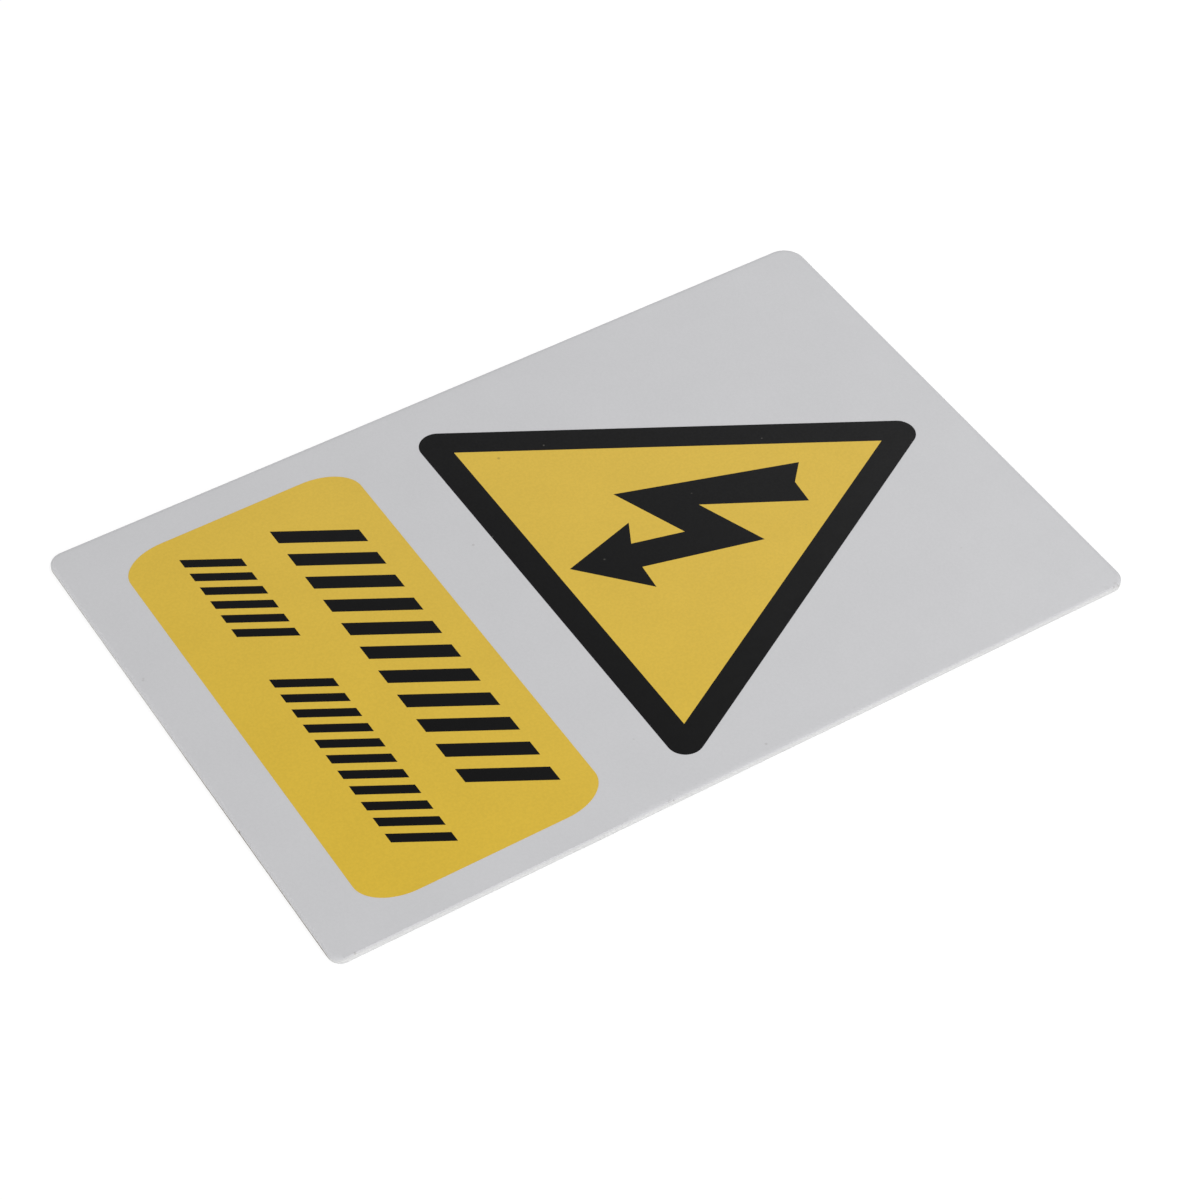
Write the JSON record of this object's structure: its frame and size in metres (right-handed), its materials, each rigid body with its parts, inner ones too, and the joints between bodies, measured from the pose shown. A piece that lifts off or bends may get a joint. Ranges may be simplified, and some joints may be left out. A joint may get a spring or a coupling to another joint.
{
  "type": "high voltage warning sign",
  "caption": "Flat rectangular plastic warning sign with rounded corners, printed with a yellow triangle and lightning arrow in a black border over a yellow panel of hazard bars.",
  "frame": {"origin": "middle of the plate's flat back, which is the face it lies on", "axes": "+X to the reader's right across the front, +Y up the sign towards the triangle's top corner, +Z out of the printed front"},
  "size_m": [0.2, 0.3, 0.0021],
  "materials": {
    "white_plastic": "satin white rigid sheet with a faint orange peel, light handling marks and specks, edges as cut",
    "yellow_ink": "satin screen-printed safety yellow",
    "black_ink": "satin screen-printed black"
  },
  "bodies": {
    "root": {"sign_plate": "white_plastic", "triangle_border": "black_ink", "triangle_field": "yellow_ink", "lightning_arrow": "black_ink", "caption_panel": "yellow_ink", "hazard_bars": "black_ink"}
  },
  "joints": []
}
